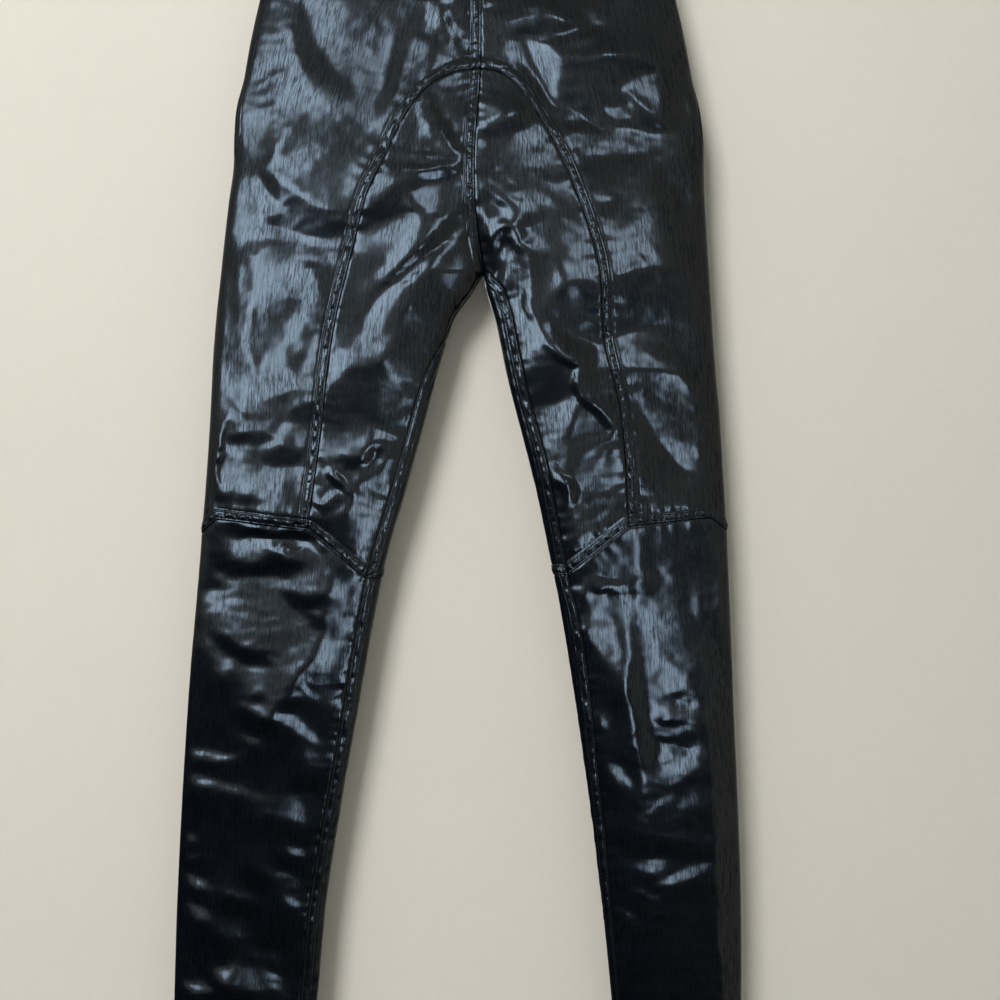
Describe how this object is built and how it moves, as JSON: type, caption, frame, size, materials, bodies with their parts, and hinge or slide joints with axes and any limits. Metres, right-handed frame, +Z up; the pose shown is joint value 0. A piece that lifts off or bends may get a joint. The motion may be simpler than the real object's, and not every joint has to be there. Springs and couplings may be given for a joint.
{
  "type": "leather-look trousers",
  "caption": "High-rise skinny trousers in gloss-coated stretch cloth, with an arched riding seam, shaped knee seams and gaping side-seam pockets, hanging flat.",
  "frame": {"origin": "middle of the waistband's top edge, where the trousers are held up", "axes": "+Z up to the waistband's top, front faces -Y, +X to the right of a viewer who looks at the front"},
  "size_m": [0.529, 0.0421, 1.052],
  "materials": {
    "coated_cloth": "high-gloss coat with upright yarn streaks",
    "button_metal": "dark plated metal"
  },
  "bodies": {
    "root": {"waistband": "coated_cloth", "waist_button": "button_metal", "front_thigh_left": "coated_cloth", "front_inner_left": "coated_cloth", "front_shin_left": "coated_cloth", "back_thigh_left": "coated_cloth", "back_calf_left": "coated_cloth", "hem_left": "coated_cloth", "pocket_facing_left": "coated_cloth", "front_thigh_right": "coated_cloth", "front_inner_right": "coated_cloth", "front_shin_right": "coated_cloth", "back_thigh_right": "coated_cloth", "back_calf_right": "coated_cloth", "hem_right": "coated_cloth", "pocket_facing_right": "coated_cloth"}
  },
  "joints": []
}
